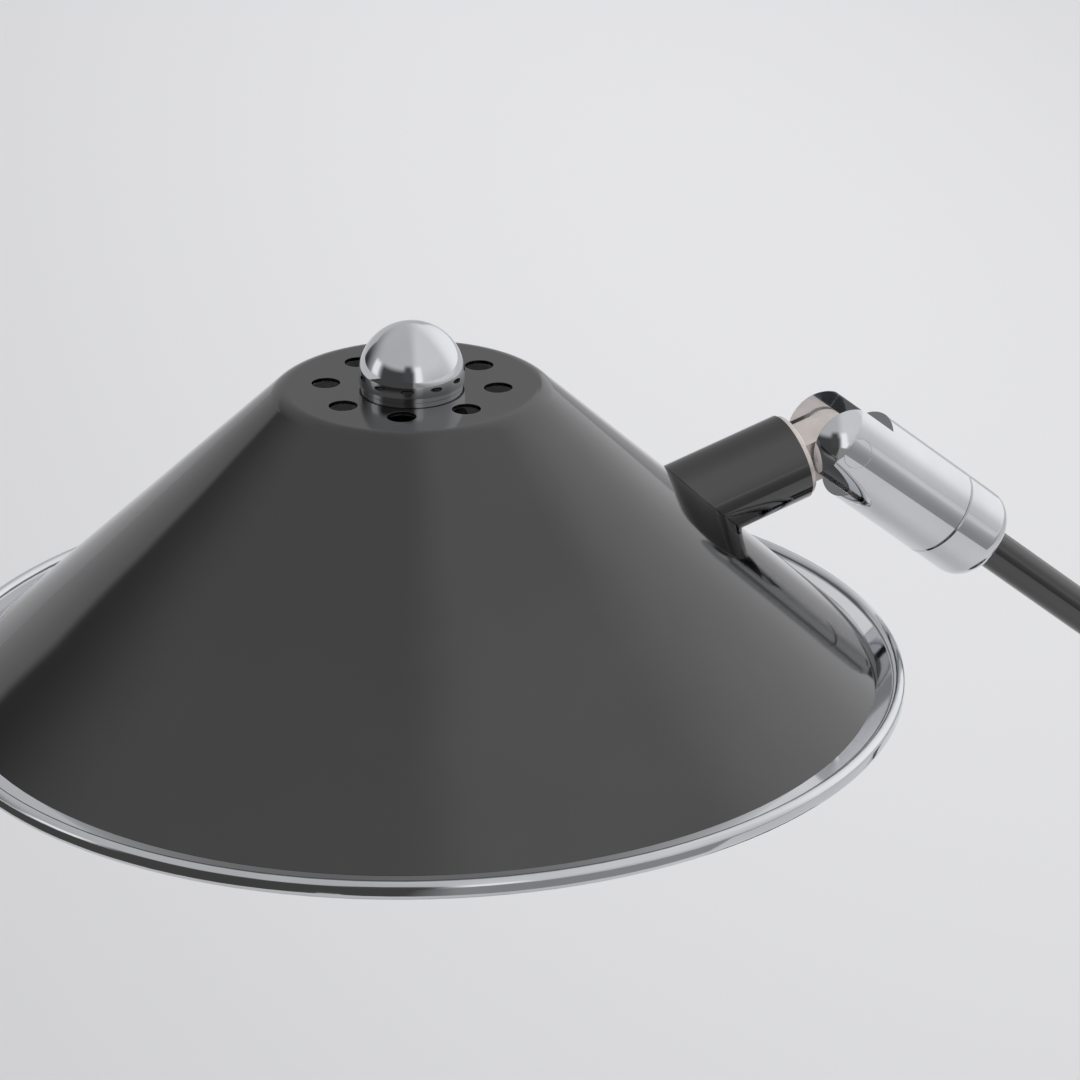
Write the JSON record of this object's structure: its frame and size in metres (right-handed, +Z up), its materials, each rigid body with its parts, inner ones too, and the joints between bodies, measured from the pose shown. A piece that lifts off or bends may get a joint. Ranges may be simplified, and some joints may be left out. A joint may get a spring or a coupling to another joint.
{
  "type": "articulated table lamp",
  "caption": "Table lamp with a round weighted base, an upright stem, a slanting arm with knuckle joints and a cone shade with a bright rim.",
  "frame": {"origin": "centre of the underside of the base", "axes": "+Z up along the stem; the arm lies in the XZ plane and rises toward -X, where the shade is; +X toward the cord inlet"},
  "size_m": [0.5243, 0.23, 0.4334],
  "materials": {
    "black_chrome": "dark polished",
    "polished_chrome": "polished",
    "satin_nickel": "satin",
    "plain_brass": "turned",
    "zinc_steel": "plated",
    "white_nylon": "matte",
    "white_ceramic": "glazed",
    "bulb_glass": "frosted",
    "cast_weight": "cast",
    "pad_rubber": "matte",
    "black_plastic": "matte"
  },
  "bodies": {
    "base": {"base_pad": "pad_rubber", "base_plate": "zinc_steel", "base_weight": "cast_weight", "base_ring": "polished_chrome", "base_shell": "black_chrome", "base_screws": "zinc_steel", "cord_gland": "black_plastic", "switch_bezel": "polished_chrome", "switch_body": "black_plastic", "stem_collar": "polished_chrome", "collar_nut": "plain_brass", "thrust_washer": "white_nylon"},
    "switch": {"switch_button": "polished_chrome"},
    "stem": {"stem_tube": "black_chrome", "stem_spindle": "plain_brass", "stem_lock_nut": "plain_brass", "elbow_cap": "polished_chrome", "elbow_spindle": "plain_brass", "elbow_clevis": "polished_chrome", "elbow_washers": "white_nylon", "elbow_pin": "polished_chrome", "elbow_nut": "polished_chrome"},
    "arm": {"arm_foot": "polished_chrome", "arm_tube": "black_chrome", "head_cap": "polished_chrome", "head_spindle": "plain_brass"},
    "knuckle": {"head_clevis": "polished_chrome", "head_washers": "white_nylon", "head_pin": "polished_chrome", "head_nut": "polished_chrome"},
    "head": {"head_tongue": "satin_nickel", "neck_tube": "black_chrome", "shade": "black_chrome", "rim_ring": "polished_chrome", "finial_ball": "polished_chrome", "finial_seat": "polished_chrome", "top_stud": "plain_brass", "shade_washer": "zinc_steel", "stud_nuts": "zinc_steel", "holder_cup": "zinc_steel", "lampholder": "white_ceramic", "bulb_base": "white_ceramic", "bulb_capsule": "bulb_glass"}
  },
  "joints": [
    {"name": "stem_swivel", "type": "hinge", "parent": "base", "child": "stem", "pos_m": [0, 0, 0], "axis": [0, 0, 1], "range_deg": [-170, 170]},
    {"name": "arm_lift", "type": "hinge", "parent": "stem", "child": "arm", "pos_m": [0, 0, 0.215], "axis": [0, 1, 0], "range_deg": [-25, 35]},
    {"name": "head_swivel", "type": "hinge", "parent": "arm", "child": "knuckle", "pos_m": [-0.20513, 0, 0.38591], "axis": [0.7683, 0, -0.6401], "range_deg": [-60, 60]},
    {"name": "head_tilt", "type": "hinge", "parent": "knuckle", "child": "head", "pos_m": [-0.20513, 0, 0.38591], "axis": [0, 1, 0], "range_deg": [-10, 65]},
    {"name": "switch_press", "type": "slide", "parent": "base", "child": "switch", "axis": [0, 0, -1], "range_m": [0, 0.0024], "stiffness_N_per_m": 300, "springref_m": -0.0006}
  ]
}
